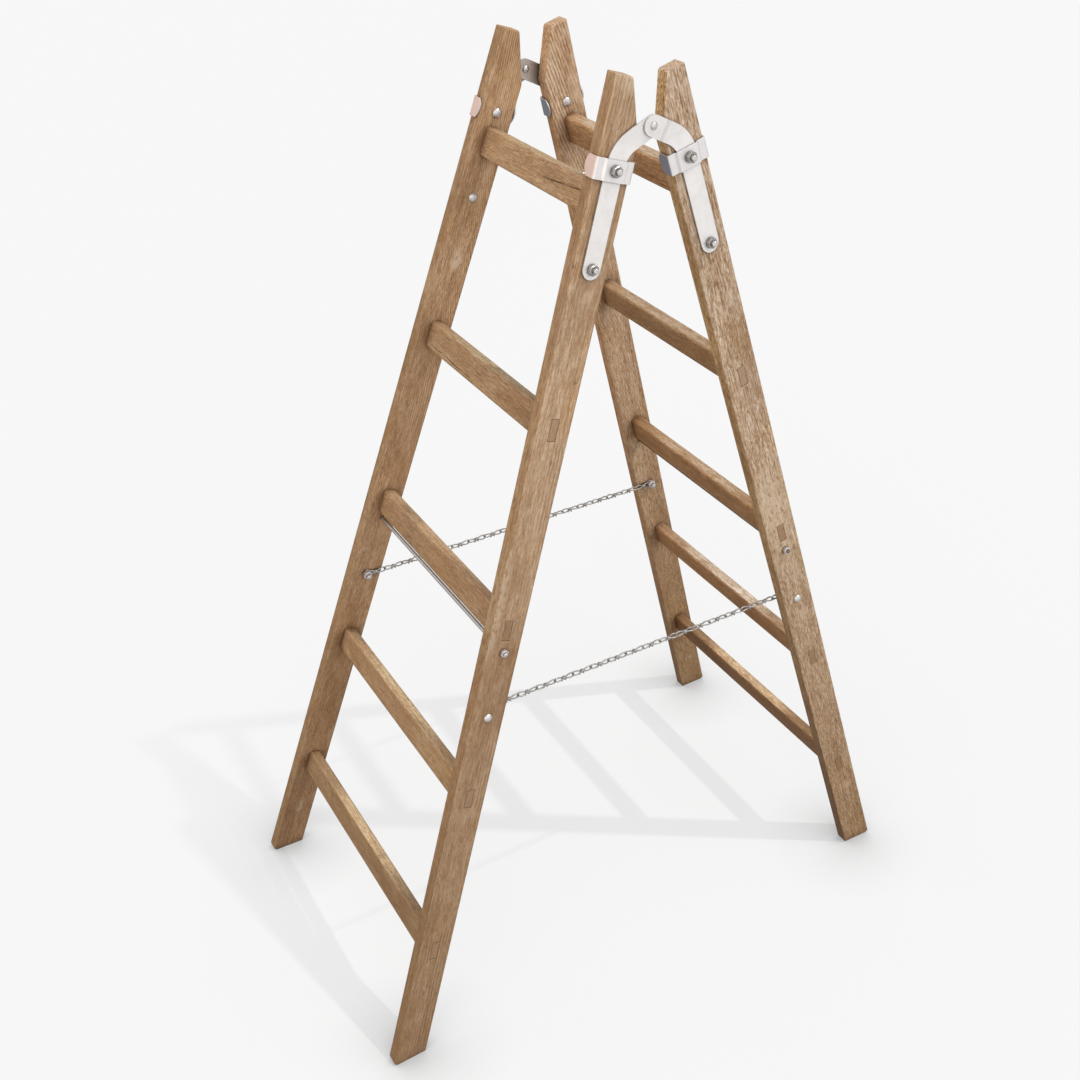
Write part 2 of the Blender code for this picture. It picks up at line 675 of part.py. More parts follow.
def main():
    clear_scene()
    parts = make_collection("step_ladder")
    cutters = make_collection("cutters")
    wood = make_material("oiled oak", (0.42, 0.23, 0.10), 0.55, 0.0)
    plate = make_material("zinc-plated steel plate", (0.74, 0.72, 0.69), 0.38, 0.9)
    bolt_steel = make_material("zinc-plated fasteners", (0.66, 0.66, 0.66), 0.32, 1.0)
    for name, turn in (("right", 0.0), ("left", math.pi)):
        build_half(Half(name, turn, parts, cutters, (wood, plate, bolt_steel)))


main()
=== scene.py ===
import math
import random

import bmesh
import bpy
from mathutils import Matrix, Vector


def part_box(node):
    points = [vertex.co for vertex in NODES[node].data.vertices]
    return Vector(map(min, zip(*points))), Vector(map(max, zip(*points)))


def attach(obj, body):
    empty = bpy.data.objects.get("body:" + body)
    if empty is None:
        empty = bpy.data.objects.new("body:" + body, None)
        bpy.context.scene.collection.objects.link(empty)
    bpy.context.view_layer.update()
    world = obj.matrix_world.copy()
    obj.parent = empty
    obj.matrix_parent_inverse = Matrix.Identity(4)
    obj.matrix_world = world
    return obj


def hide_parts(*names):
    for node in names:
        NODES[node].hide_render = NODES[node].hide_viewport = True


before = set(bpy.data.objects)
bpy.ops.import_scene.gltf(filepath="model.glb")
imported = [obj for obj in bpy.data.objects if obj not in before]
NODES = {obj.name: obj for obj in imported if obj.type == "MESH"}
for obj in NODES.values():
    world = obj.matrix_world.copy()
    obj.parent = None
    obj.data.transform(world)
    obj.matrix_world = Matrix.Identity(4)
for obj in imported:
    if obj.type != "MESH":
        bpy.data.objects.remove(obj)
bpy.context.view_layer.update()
HALVES = ("left", "right")
ENDS = ("front", "back")
# the lean of each half, the splay of its stiles, and the hinge axis above the floor, as in the solids
LEAN = math.radians(17.20)
SPLAY = math.radians(4.78)
PIVOT_Z = 1.4
# a board's middle across its breadth, out from the hinge, and a stile's middle along the hinge axis
BOARD_X = 0.0408
STILE_Y = 0.1427
# how fast the stiles' tops narrow from the inner edge, for each unit upwards
TOP_TAPER = 0.385


# ---------------------------------------------------------------- node helpers
class Tree:
    """Short calls for building a node tree."""

    def __init__(self, name, world=False):
        if world:
            self.mat = bpy.data.worlds.new(name)
        else:
            self.mat = bpy.data.materials.new(name)
        self.mat.use_nodes = True
        self.tree = self.mat.node_tree
        self.nodes = self.tree.nodes
        self.bsdf = self.nodes.get("Principled BSDF")

    def put(self, kind, **values):
        node = self.nodes.new("ShaderNode" + kind)
        for key, value in values.items():
            setattr(node, key, value)
        return node

    def wire(self, out, into):
        self.tree.links.new(out, into)

    def feed(self, socket, value):
        if isinstance(value, bpy.types.NodeSocket):
            self.wire(value, socket)
        else:
            socket.default_value = value

    def math(self, op, a, b=0.0):
        node = self.put("Math", operation=op)
        self.feed(node.inputs[0], a)
        self.feed(node.inputs[1], b)
        return node.outputs[0]

    def add(self, *terms):
        total = terms[0]
        for term in terms[1:]:
            total = self.math("ADD", total, term)
        return total

    def sub(self, a, b):
        return self.math("SUBTRACT", a, b)

    def mul(self, a, b):
        return self.math("MULTIPLY", a, b)

    def at_least(self, value, least):
        return self.math("MAXIMUM", value, least)

    def size(self, value):
        return self.math("ABSOLUTE", value)

    def length(self, a, b):
        return self.math("SQRT", self.add(self.mul(a, a), self.mul(b, b)))

    def span(self, value, low, high, to_low=0.0, to_high=1.0, smooth=True):
        node = self.put("MapRange", interpolation_type="SMOOTHSTEP" if smooth else "LINEAR")
        self.feed(node.inputs["Value"], value)
        node.inputs["From Min"].default_value = low
        node.inputs["From Max"].default_value = high
        node.inputs["To Min"].default_value = to_low
        node.inputs["To Max"].default_value = to_high
        return node.outputs[0]

    def noise(self, vector, scale, shift, detail, rough):
        node = self.put("TexNoise")
        self.wire(self.stretch(vector, scale, shift), node.inputs["Vector"])
        node.inputs["Scale"].default_value = 1.0
        node.inputs["Detail"].default_value = detail
        node.inputs["Roughness"].default_value = rough
        return node.outputs["Fac"]

    def stretch(self, vector, scale, offset=(0, 0, 0), turn=(0, 0, 0)):
        node = self.put("Mapping")
        self.wire(vector, node.inputs["Vector"])
        node.inputs["Scale"].default_value = scale
        node.inputs["Location"].default_value = offset
        node.inputs["Rotation"].default_value = turn
        return node.outputs["Vector"]

    def split(self, vector):
        node = self.put("SeparateXYZ")
        self.wire(vector, node.inputs[0])
        return node.outputs[0], node.outputs[1], node.outputs[2]

    def join(self, x, y, z):
        node = self.put("CombineXYZ")
        for socket, value in zip(node.inputs, (x, y, z)):
            self.feed(socket, value)
        return node.outputs[0]

    def ramp(self, value, stops):
        node = self.put("ValToRGB")
        elements = node.color_ramp.elements
        while len(elements) < len(stops):
            elements.new(0.5)
        for element, (place, colour) in zip(elements, stops):
            element.position = place
            element.color = colour
        self.wire(value, node.inputs["Fac"])
        return node.outputs["Color"]

    def mix(self, fac, a, b, blend="MIX"):
        node = self.put("Mix", data_type="RGBA", blend_type=blend)
        node.clamp_factor = True
        self.feed(node.inputs[0], fac)
        self.feed(node.inputs[6], a)
        self.feed(node.inputs[7], b)
        return node.outputs[2]

    def bump(self, height, strength, distance, normal):
        node = self.put("Bump")
        node.inputs["Strength"].default_value = strength
        node.inputs["Distance"].default_value = distance
        self.wire(height, node.inputs["Height"])
        self.wire(normal, node.inputs["Normal"])
        return node.outputs["Normal"]

    def rounded(self, radius):
        """The normal with its edges rounded, and how nearly the true one agrees with it."""
        bevel = self.put("Bevel", samples=6)
        bevel.inputs["Radius"].default_value = radius
        geo = self.put("NewGeometry")
        dot = self.put("VectorMath", operation="DOT_PRODUCT")
        self.wire(bevel.outputs[0], dot.inputs[0])
        self.wire(geo.outputs["True Normal"], dot.inputs[1])
        return bevel.outputs[0], dot.outputs["Value"]

    def open_air(self, reach, samples=6):
        """1 where nothing else is within reach, down to 0 deep in a corner."""
        node = self.put("AmbientOcclusion", samples=samples)
        node.inputs["Distance"].default_value = reach
        return node.outputs["AO"]

    def choose(self, fac, a, b):
        node = self.put("MixShader")
        self.wire(fac, node.inputs[0])
        self.wire(a, node.inputs[1])
        self.wire(b, node.inputs[2])
        return node.outputs[0]


def srgb(r, g, b):
    def one(c):
        c = max(c, 0.0) / 255.0
        return c / 12.92 if c <= 0.04045 else ((c + 0.055) / 1.055) ** 2.4
    return (one(r), one(g), one(b), 1.0)


def shade(colour, by, extra=0.0):
    """A written colour scaled; wood turns more orange as it darkens and greyer as it pales."""
    r, g, b = colour
    tint = 0.8 * (1 - by) + extra
    return srgb(r * by, g * by * (1 - 0.45 * tint), b * by * (1 - tint))


def ratio(new, old):
    """The factor that turns one written colour into another."""
    return srgb(*[255 * n / o for n, o in zip(new, old)])


def scaled(colour, by):
    return tuple(channel * by for channel in colour)


# ---------------------------------------------------------------- wood
def grain_frame(half, end=None):
    """Matrix from the object to a stile's own frame, or to a rung's where no end is given.

    z runs along the grain, x across the broad face of a stile and y through it.
    """
    turn = 0.0 if half == "right" else math.pi
    place = Matrix.Translation((0, 0, PIVOT_Z)) @ Matrix.Rotation(turn, 4, "Z")
    place = place @ Matrix.Rotation(-LEAN, 4, "Y")
    if end is None:
        place = place @ Matrix.Rotation(math.pi / 2, 4, "X")
    else:
        own_side = -1 if (half == "right") == (end == "front") else 1
        place = place @ Matrix.Rotation(own_side * SPLAY, 4, "X")
        place = place @ Matrix.Translation((0, own_side * STILE_Y, 0))
    return place.inverted()


# the wood's noise patterns: how fine across, through and along the grain, where each is taken from, its
# detail and its roughness
WANDER = ((7, 7, 2.2), (0, 0, 0), 2.0, 0.5)
RIPPLE = ((34, 34, 13), (3.1, 1.7, 0.4), 2.0, 0.5)
RING_PATCH = ((15, 15, 3.5), (7, 2, 5), 3.0, 0.55)
RING_BREAK = ((260, 260, 24), (4, 1, 7), 2.0, 0.55)
STREAK = ((125, 125, 2.6), (1, 8, 2), 4.0, 0.6)
FIBRE = ((620, 620, 34), (0, 0, 0), 1.0, 0.5)
DASH = ((500, 500, 105), (6, 3, 8), 1.0, 0.5)
SPECK = ((360, 360, 230), (3, 7, 1), 1.5, 0.6)
PORE = ((520, 520, 120), (2, 6, 6), 1.0, 0.5)
BROAD = ((28, 28, 1.3), (4, 4, 9), 3.0, 0.5)
BLOTCH = ((13, 13, 4.5), (9, 1, 1), 4.0, 0.6)
STAIN = ((40, 40, 22), (5, 5, 5), 5.0, 0.65)
DENT = ((120, 120, 60), (8, 3, 2), 2.0, 0.6)
WARMTH = ((26, 26, 10), (2, 9, 4), 2.0, 0.55)
CRACK_BREAK = ((90, 90, 70), (1, 1, 4), 2.0, 0.55)
SCUFF_BREAK = ((150, 150, 85), (6, 6, 1), 3.0, 0.55)
SAWN_END = ((420, 420, 60), (2, 2, 2), 2.0, 0.55)

WARM_TINT = (0.93, 0.86, 0.74, 1.0)
CRACK_COLOUR = (66, 46, 32)
SCUFF_COLOUR = (228, 207, 180)
# how far edges are rounded, how far painted shade reaches out of corners, and half the width that shoes
# wear
WOOD_ARRIS = 0.0030
CORNER_SHADE_REACH = 0.026
TREAD_HALF = 0.14
# heights above the floor between which a board's colour goes from high to low; the darkening towards the
# floor is partly grime and partly painted shade
HIGH_Z = 1.05
LOW_Z = 0.05


def wood_material(name, matrix, seed, colour, low, pith, bow=(0.0, 0.0), reach=None, period=0.0085,
                  lines=0.35, contrast=1.0, fleck=1.0, inner_edge_shading=None, outer_edge_shading=None, tread=None, tips=None,
                  cracks=(), scuffs=()):
    """Old oiled hardwood: growth rings, long fibres, short flecks, open pores, stains, worn light edges.

    colour is its mean colour up high and low its colour near the floor, darker there partly from grime and
    partly as painted shade.
    pith is where the rings' centre runs, bow how it leaves the piece's line, period how far apart the
    rings are, and reach the places along it above which they are everywhere and below which there are
    none. lines, contrast and fleck say how strongly rings, fibres and flecks show. The inner and outer
    edge colours, high and low, are painted light and shade that its narrow edges take by the side they
    face; tread is that of a worn top, and tips those of its two ends where they show in other wood. cracks
    and scuffs are single marks of use, placed in the piece's own frame.
    """
    rng = random.Random(seed)
    t = Tree(name)
    coords = t.put("TexCoord")
    coord = coords.outputs["Object"]
    rot = tuple(matrix.to_euler("XYZ"))
    local = t.stretch(coord, (1, 1, 1), tuple(matrix.to_translation()), rot)
    shift = tuple(rng.uniform(-5, 5) for _ in range(3))
    moved = t.stretch(local, (1, 1, 1), shift)
    lx, ly, lz = t.split(local)
    turned = t.put("Mapping", vector_type="VECTOR")
    t.wire(coords.outputs["Normal"], turned.inputs["Vector"])
    turned.inputs["Rotation"].default_value = rot
    nx, _, nz = t.split(turned.outputs["Vector"])
    height = t.split(coord)[2]
    facing_up = t.split(coords.outputs["Normal"])[2]

    # slow wander of the grain, so that no line runs dead straight
    wander = t.sub(t.noise(moved, *WANDER), 0.5)
    ripple = t.sub(t.noise(moved, *RIPPLE), 0.5)
    gx = t.add(lx, t.mul(wander, 0.016), t.mul(ripple, 0.0028))
    gy = t.add(ly, t.mul(wander, 0.008), t.mul(ripple, 0.002))
    bent = t.stretch(t.join(gx, gy, lz), (1, 1, 1), shift)

    # growth rings round the pith, as pale lines with a dark trailing side
    radius = t.length(t.sub(gx, pith[0]), t.sub(gy, pith[1]))
    radius = t.add(radius, t.mul(lz, bow[0]), t.mul(t.mul(lz, lz), bow[1]))
    ring = t.math("FRACT", t.mul(radius, 1.0 / period))
    pale = t.mul(t.span(ring, 0.0, 0.18), t.span(ring, 0.44, 0.26))
    late = t.mul(t.span(ring, 0.52, 0.86), t.span(ring, 1.0, 0.95))
    patch = t.span(t.noise(moved, *RING_PATCH), 0.36, 0.64)
    if reach is not None:
        patch = t.at_least(patch, t.span(lz, reach[0], reach[0] + 0.1))
        patch = t.mul(patch, t.span(lz, reach[1] - 0.2, reach[1]))

    # they show on the broad faces, and best near the inner edge, which the tapered top brings outwards
    from_inner = t.sub(lx, t.mul(t.at_least(t.add(lz, 0.02), 0.0), TOP_TAPER))
    broad_face = t.span(t.size(nx), 0.80, 0.45)
    patch = t.mul(patch, t.mul(broad_face, t.span(from_inner, 0.058, 0.034, 0.25, 1.0)))
    broken = t.span(t.noise(bent, *RING_BREAK), 0.36, 0.60, 0.25, 1.0)
    pale = t.mul(t.mul(pale, patch), broken)
    late = t.mul(late, t.mul(t.add(patch, 0.25), broken))

    # fibres and flecks, longer than wide, open pores, and the slower colour of the board
    streak = t.noise(bent, *STREAK)
    fibre = t.noise(bent, *FIBRE)
    dash = t.noise(bent, *DASH)
    speck = t.noise(moved, *SPECK)
    pores = t.span(t.noise(bent, *PORE), 0.62, 0.70)
    broad = t.noise(bent, *BROAD)
    blotch = t.noise(moved, *BLOTCH)
    stain = t.noise(moved, *STAIN)
    dents = t.span(t.noise(moved, *DENT), 0.68, 0.75)

    parts = (
        (t.span(fibre, 0.36, 0.64), 0.30 * contrast),
        (t.span(dash, 0.36, 0.64), 0.34 * fleck),
        (t.span(speck, 0.36, 0.64), 0.18 * fleck),
        (t.span(streak, 0.28, 0.72), 0.20 * contrast),
        (t.span(broad, 0.28, 0.72), 0.16),
    )
    fac = 0.5 - 0.5 * sum(weight for _, weight in parts)
    for value, weight in parts:
        fac = t.math("ADD", t.mul(value, weight), fac)
    stops = [
        (0.05, shade(colour, 0.70)),
        (0.35, shade(colour, 0.92)),
        (0.65, shade(colour, 1.06)),
        (0.95, shade(colour, 1.22)),
    ]
    base = t.ramp(fac, stops)
    base = t.mix(t.mul(late, 0.55 * lines), base, shade(colour, 0.74))
    base = t.mix(t.mul(pale, lines), base, shade(colour, 1.22))
    base = t.mix(t.mul(pores, 0.45 * fleck), base, shade(colour, 0.66))
    base = t.mix(t.span(blotch, 0.47, 0.72, 0.0, 0.50), base, shade(colour, 0.74))
    base = t.mix(t.span(stain, 0.50, 0.72, 0.0, 0.42), base, shade(colour, 1.20))
    base = t.mix(t.span(stain, 0.44, 0.28, 0.0, 0.26), base, shade(colour, 0.80))
    base = t.mix(t.mul(dents, 0.45), base, shade(colour, 0.58))
    warmth = t.noise(moved, *WARMTH)
    base = t.mix(t.span(warmth, 0.44, 0.70, 0.0, 0.7), base, WARM_TINT, "MULTIPLY")

    # towards the floor the figure is rubbed flat
    down = t.mul(t.span(height, HIGH_Z, LOW_Z, smooth=False), t.span(broad, 0.2, 0.8, 0.85, 1.0))
    calm = t.mix(t.span(blotch, 0.3, 0.7), shade(colour, 1.06), shade(colour, 0.92))
    base = t.mix(t.mul(down, 0.22), base, calm)

    # old shakes: thin dark lines that run with the grain
    crack_sum = None
    for y0, z0, z1, slope, width in cracks:
        line = t.add(t.mul(t.sub(lz, z0), slope), y0, t.mul(ripple, 0.006))
        one = t.span(t.size(t.sub(ly, line)), width, width * 0.35)
        one = t.mul(one, t.mul(t.span(lz, z0, z0 + 0.012), t.span(lz, z1, z1 - 0.03)))
        one = t.mul(one, t.span(t.noise(moved, *CRACK_BREAK), 0.36, 0.5, 0.35, 1.0))
        crack_sum = one if crack_sum is None else t.at_least(crack_sum, one)
    if crack_sum is not None:
        base = t.mix(t.mul(crack_sum, 0.85), base, srgb(*CRACK_COLOUR))

    # pale scuffs: where, how far across and along, and how strong
    for x0, z0, half_x, half_z, strength in scuffs:
        off = t.length(t.mul(t.sub(lx, x0), 1 / half_x), t.mul(t.sub(lz, z0), 1 / half_z))
        spot = t.span(off, 1.0, 0.25)
        spot = t.mul(spot, t.span(t.noise(moved, *SCUFF_BREAK), 0.36, 0.52, 0.1, 1.0))
        base = t.mix(t.mul(spot, strength), base, srgb(*SCUFF_COLOUR))

    # a top worn pale by shoes
    if tread is not None:
        worn = t.mix(t.span(fac, 0.25, 0.75), shade(tread, 0.88), shade(tread, 1.09))
        fade = t.mul(t.span(facing_up, 0.80, 0.93), t.span(stain, 0.30, 0.55, 0.55, 1.0))
        fade = t.mul(fade, t.span(t.size(lz), TREAD_HALF, TREAD_HALF * 0.6, 0.25, 1.0))
        base = t.mix(fade, base, worn)

    # worn, paler arrises: where the rounded normal leaves the true one
    round_normal, agree = t.rounded(WOOD_ARRIS)
    edge = t.mul(t.span(agree, 0.995, 0.88), t.span(stain, 0.34, 0.6, 0.2, 1.0))
    base = t.mix(t.mul(edge, 0.20), base, shade(colour, 1.18, 0.06))

    # end grain: short dark pores instead of long lines
    end = t.span(t.size(nz), 0.80, 0.95)
    rough_end = t.span(t.noise(moved, *SAWN_END), 0.36, 0.64)
    if tips is None:
        cut = t.mix(rough_end, shade(colour, 1.08), shade(colour, 0.84))
        base = t.mix(t.mul(end, 0.75), base, cut)
    else:
        first = t.mix(rough_end, shade(tips[0], 1.02), shade(tips[0], 0.93))
        second = t.mix(rough_end, shade(tips[1], 1.02), shade(tips[1], 0.93))
        both = t.mix(t.span(t.split(coord)[1], -0.01, 0.01), first, second)
        base = t.mix(end, base, t.mix(t.mul(edge, 0.15), both, shade(colour, 0.55)))

    # darker towards the floor, partly grime and partly painted shade; painted light and shade on the
    # narrow edges by the side they face; painted shade in the corners where pieces meet
    tone = t.mix(down, (1, 1, 1, 1), ratio(low, colour))
    # painted light and shade: each narrow edge takes its own lit or shaded colour, high and low, by the
    # side it faces
    for edge_shading, axis in ((inner_edge_shading, t.mul(nx, -1.0)), (outer_edge_shading, nx)):
        if edge_shading is not None:
            here = t.mix(down, ratio(edge_shading[0], colour), ratio(edge_shading[1], colour))
            tone = t.mix(t.span(axis, 0.55, 0.85), tone, here)
    base = t.mix(1.0, base, tone, "MULTIPLY")
    # painted shade in the corners where pieces meet: a soft darkening, then a deep one in the tightest
    # corners
    clear = t.open_air(CORNER_SHADE_REACH)
    corner_shade = t.mul(t.span(clear, 0.95, 0.40), t.span(stain, 0.3, 0.6, 0.6, 1.0))
    base = t.mix(t.mul(corner_shade, 0.72), base, shade(low, 0.60, 0.06))
    base = t.mix(t.span(clear, 0.58, 0.22, 0.0, 0.75), base, shade(low, 0.36))
    t.wire(base, t.bsdf.inputs["Base Color"])

    rough = t.span(t.add(t.mul(fibre, 0.6), t.mul(stain, 0.4)), 0.3, 0.7, 0.50, 0.70)
    t.wire(rough, t.bsdf.inputs["Roughness"])
    t.bsdf.inputs["Specular IOR Level"].default_value = 0.30
    tall = t.add(t.mul(fibre, 0.4), t.mul(dash, 0.35), t.mul(streak, 0.25))
    tall = t.add(tall, t.mul(pores, -0.35), t.mul(late, -0.10), t.mul(dents, -0.8))
    if crack_sum is not None:
        tall = t.add(tall, t.mul(crack_sum, -1.6))
    fine = t.bump(tall, 0.70, 0.0009, round_normal)
    t.wire(t.bump(stain, 0.35, 0.0016, fine), t.bsdf.inputs["Normal"])
    return t.mat


# ---------------------------------------------------------------- metal
# the steel's noise patterns, as the wood's are
CLOUD = ((55, 55, 55), (0, 0, 0), 4.0, 0.6)
ROLLED = ((900, 900, 160), (0, 0, 0), 3.0, 0.6)
SCRATCH = ((300, 300, 2400), (0, 0, 0), 1.0, 0.4)
SCRATCH_TURN = (0.3, 0.5, 0.1)
SPANGLE = (240, 240, 240)
METAL_ARRIS = 0.0007
CORNER_SHADE_COLOUR = (96, 90, 86)


def plate_material(name, colour, rough, metal, dull=(168, 160, 154), mottle=0.12, corner_shade_reach=0.006, side=None):
    """Zinc-plated steel: cold-rolled streaks, faint cloudy spangle, fine scratches, painted shade on its
    edges.

    dull is the colour of the spangle and, darker, of scratches and of the painted edge shade; mottle says
    how much the spangle shows, and the reach after it how far painted shade reaches out of corners. side,
    where given, is a
    painted reflection: the colour where it faces -X.
    """
    t = Tree(name)
    coords = t.put("TexCoord")
    coord = coords.outputs["Object"]
    cloud = t.noise(coord, *CLOUD)
    spangle = t.put("TexVoronoi", feature="F1")
    t.wire(t.stretch(coord, SPANGLE), spangle.inputs["Vector"])
    spangle.inputs["Scale"].default_value = 1.0
    grain = t.noise(coord, *ROLLED)
    askew = t.stretch(coord, (1, 1, 1), turn=SCRATCH_TURN)
    scratch = t.span(t.noise(askew, *SCRATCH), 0.66, 0.72)
    base = t.mix(t.span(cloud, 0.35, 0.7), srgb(*colour), srgb(*scaled(colour, 0.975)))
    if side is not None:
        # painted reflection on the faces turned to -X
        facing_x = t.split(coords.outputs["Normal"])[0]
        base = t.mix(t.span(facing_x, -0.70, -0.92), base, srgb(*side))
    base = t.mix(t.mul(t.span(spangle.outputs["Color"], 0.2, 0.9), mottle), base, srgb(*dull))
    base = t.mix(t.mul(scratch, 0.14), base, srgb(*scaled(dull, 0.7)))
    round_normal, agree = t.rounded(METAL_ARRIS)
    # painted shade along the edges: darker where the rounded normal leaves the true one
    base = t.mix(t.mul(t.span(agree, 0.99, 0.80), 0.35), base, srgb(*scaled(dull, 0.8)))
    # painted shade reaching out of corners, round nuts and where plates lie close to other parts
    base = t.mix(t.span(t.open_air(corner_shade_reach), 0.85, 0.30, 0.0, 0.75), base, srgb(*CORNER_SHADE_COLOUR))
    t.wire(base, t.bsdf.inputs["Base Color"])
    t.bsdf.inputs["Metallic"].default_value = metal
    uneven = t.add(t.mul(cloud, 0.6), t.mul(grain, 0.4))
    t.wire(t.span(uneven, 0.3, 0.7, rough - 0.07, rough + 0.12), t.bsdf.inputs["Roughness"])
    fine = t.bump(t.add(grain, t.mul(scratch, -0.6)), 0.10, 0.0003, round_normal)
    t.wire(t.bump(cloud, 0.06, 0.002, fine), t.bsdf.inputs["Normal"])
    return t.mat


# bends sharper than this stay sharp
WOOD_SHARP = math.radians(35.0)
STEEL_SHARP = math.radians(40.0)


def smooth(node, sharp):
    node.data.shade_smooth()
    node.data.set_sharp_from_angle(angle=sharp)


def dress(node, material):
    node.data.materials.clear()
    node.data.materials.append(material)


# each stile's own colours, how its rings lie, and its scuffs as (x, z, half width, half length, strength)
# the inner and outer edge colours below are painted light and shade: the colours, high and low, of a
# stile's narrow edges by the side they face
STILES = {
    "left_front": dict(
        colour=(186, 154, 122), low=(143, 112, 82), seed=3,
        pith=(0.16, -0.05), bow=(0.012, 0.0), period=0.005,
        lines=0.62, fleck=0.60, contrast=0.85,
        inner_edge_shading=((172, 138, 100), (142, 110, 78)), outer_edge_shading=((175, 139, 103), (143, 110, 76)),
        scuffs=((0.043, -1.410, 0.010, 0.020, 0.5), (0.070, -0.680, 0.022, 0.120, 0.5),
                (0.040, 0.050, 0.035, 0.050, 0.5)),
    ),
    "right_front": dict(
        colour=(192, 164, 136), low=(148, 116, 83), seed=5,
        pith=(-0.10, 0.05),
        lines=0.15, fleck=1.05, contrast=1.22,
        inner_edge_shading=((195, 158, 114), (92, 60, 30)), outer_edge_shading=((180, 148, 116), (150, 118, 86)),
        scuffs=((0.050, -1.345, 0.008, 0.010, 0.8), (0.038, -0.690, 0.040, 0.150, 0.55)),
    ),
    "left_back": dict(
        colour=(187, 149, 112), low=(146, 112, 81), seed=8,
        pith=(-0.05, 0.012), bow=(-0.08, 0.36), period=0.0031, reach=(-0.22, -0.60),
        lines=1.0, fleck=0.75, contrast=0.92,
        inner_edge_shading=((172, 138, 104), (140, 108, 78)), outer_edge_shading=((176, 141, 104), (147, 114, 80)),
        scuffs=((0.037, -0.297, 0.012, 0.022, 0.6), (0.041, -1.393, 0.011, 0.024, 0.5)),
    ),
    "right_back": dict(
        colour=(195, 161, 128), low=(152, 120, 85), seed=12,
        pith=(-0.05, 0.010), bow=(0.14, -0.10), period=0.0048, reach=(-0.26, -0.62),
        lines=0.85, fleck=0.85, contrast=1.05,
        inner_edge_shading=((208, 165, 124), (129, 97, 66)), outer_edge_shading=((184, 150, 116), (150, 118, 86)),
        scuffs=((0.026, -1.384, 0.009, 0.018, 0.5), (0.047, -1.407, 0.005, 0.007, 0.9)),
    ),
}
# the rungs of each half, then each rung's own tone, worn top, tips in the stiles and cracks
RUNGS = {
    "left": dict(
        colour=(184, 147, 110), low=(162, 128, 92), lines=0.24, contrast=0.8, fleck=0.62,
        tread=(196, 168, 133), tips=((172, 141, 112), (172, 139, 106)),
    ),
    "right": dict(
        colour=(180, 139, 99), low=(142, 101, 60), lines=0.22, contrast=0.8, fleck=0.7,
        tread=(202, 174, 144), tips=((176, 146, 117), (172, 139, 106)),
    ),
}
RUNG_TONE = {
    ("left", 2): 0.965, ("left", 3): 0.97, ("left", 5): 0.95,
    ("right", 1): 1.09, ("right", 2): 0.93, ("right", 4): 1.02, ("right", 5): 0.88,
}
TREADS = {
    ("left", 1): (188, 161, 127), ("left", 2): (179, 154, 119), ("left", 3): (193, 157, 120),
    ("left", 4): (212, 182, 143), ("left", 5): (220, 187, 148),
    ("right", 1): (189, 163, 135), ("right", 2): (181, 153, 124),
    ("right", 4): (242, 225, 209), ("right", 5): (248, 220, 192),
}
TIPS = {
    ("left", 3): ((160, 128, 99), (150, 120, 92)),
    ("right", 3): ((172, 143, 114), (150, 120, 92)),
}
# (y, first z, last z, slope, half width)
CRACKS = {
    ("left", 1): ((-0.0993, -0.139, -0.008, -0.073, 0.0011),),
    ("left", 2): ((-0.4175, 0.020, 0.166, 0.010, 0.0009),),
}

for key, look in STILES.items():
    half, end = key.split("_")
    node = NODES[f"stile_{key}"]
    smooth(node, WOOD_SHARP)
    dress(node, wood_material(node.name, grain_frame(half, end), **look))
for half in HALVES:
    for number in range(1, 6):
        node = NODES[f"rung_{half}_{number}"]
        smooth(node, WOOD_SHARP)
        key = (half, number)
        seed = 40 + number + 7 * (half == "left")
        place = random.Random(seed)
        pith = (BOARD_X + place.uniform(-0.03, 0.03), place.uniform(0.05, 0.12) + 0.3 * number)
        look = dict(RUNGS[half], cracks=CRACKS.get(key, ()))
        tone = RUNG_TONE.get(key, 1.0)
        look["colour"] = scaled(look["colour"], tone)
        look["low"] = scaled(look["low"], tone)
        look["tread"] = TREADS.get(key, look["tread"])
        look["tips"] = TIPS.get(key, look["tips"])
        dress(node, wood_material(node.name, grain_frame(half), seed, pith=pith, **look))

LEAF = plate_material("zinc_leaf", (239, 235, 232), 0.48, 0.62, dull=(222, 219, 216))
# painted shade: the far leaves, seen from their inner side in the wood's shade, as a darker copy of the
# leaf
SHADED_LEAF = plate_material("zinc_leaf_shaded", (205, 198, 192), 0.42, 0.85, dull=(180, 174, 168), corner_shade_reach=0.04)
BAND_COLOUR = (230, 226, 224)
BAND_DULL = (220, 216, 212)
# painted reflections on the bands' faces turned to -X: warm on the left half, slate grey on the right
BAND_SIDE_REFLECTIONS = {"left": (236, 212, 202), "right": (186, 192, 204)}
BANDS = {}
for half, side in BAND_SIDE_REFLECTIONS.items():
    BANDS[half] = plate_material(f"zinc_band_{half}", BAND_COLOUR, 0.46, 0.92, dull=BAND_DULL, mottle=0.05,
                                 side=side)
NUT = plate_material("zinc_nut", (164, 160, 157), 0.34, 1.0, dull=(140, 136, 132))
RAIL_NUT = plate_material("zinc_nut_bright", (212, 206, 208), 0.45, 0.88, dull=(188, 182, 184))
FASTENER = plate_material("zinc_fastener", (208, 205, 202), 0.36, 0.95)
# painted shade: the rod under the right rung, browned and darkened as it lies in the rung's shade
SHADED_ROD = plate_material("zinc_rod_shaded", (142, 122, 104), 0.60, 0.80, dull=(120, 100, 84))
WIRE = plate_material("galvanised_wire", (180, 176, 171), 0.42, 0.9, dull=(140, 134, 126), mottle=0.3)


